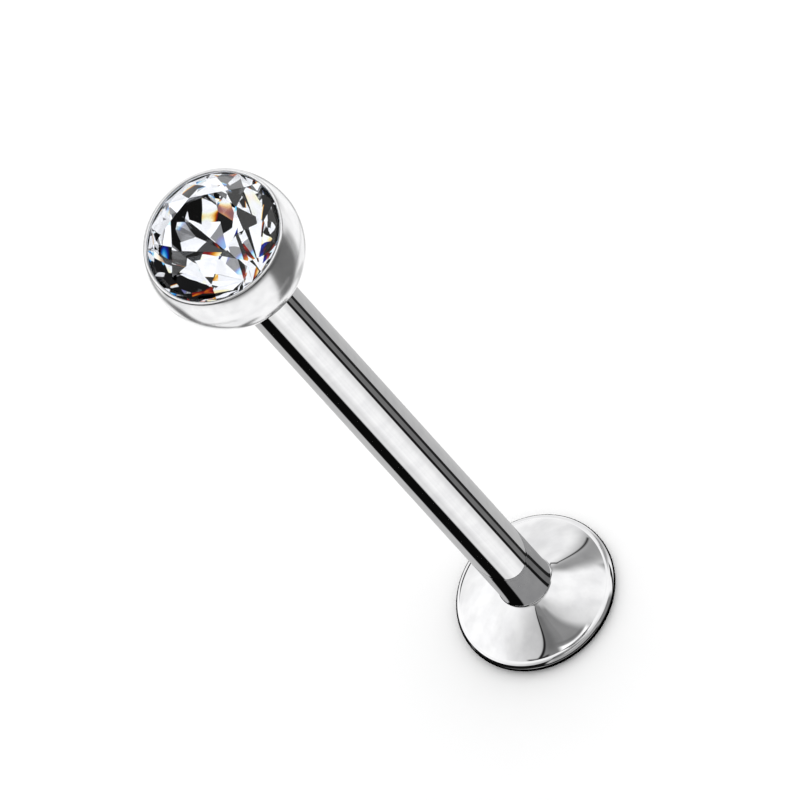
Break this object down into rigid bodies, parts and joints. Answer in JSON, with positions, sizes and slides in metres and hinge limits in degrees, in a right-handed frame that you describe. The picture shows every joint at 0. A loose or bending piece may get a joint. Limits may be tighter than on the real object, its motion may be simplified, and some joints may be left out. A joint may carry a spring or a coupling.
{
  "type": "labret stud",
  "caption": "Straight post with a domed base disc and a ball-shaped bezel cup holding a round cut crystal; the cup pulls out of the post on a stepped pin.",
  "frame": {"origin": "centre of the base disc's flat back face, which the stud stands on", "axes": "+Z along the post, from the disc to the crystal; X and Y are any two directions across the disc"},
  "size_m": [0.0036, 0.0036, 0.0196],
  "materials": {
    "polished_steel": "polished",
    "pin_steel": "satin",
    "clear_crystal": "polished"
  },
  "bodies": {
    "post": {"labret_post": "polished_steel"},
    "top": {"bezel_cup": "polished_steel", "push_pin": "pin_steel", "crystal": "clear_crystal"}
  },
  "joints": [
    {"name": "top_pull", "type": "slide", "parent": "post", "child": "top", "axis": [0, 0, 1], "range_m": [0, 0.0145]}
  ]
}
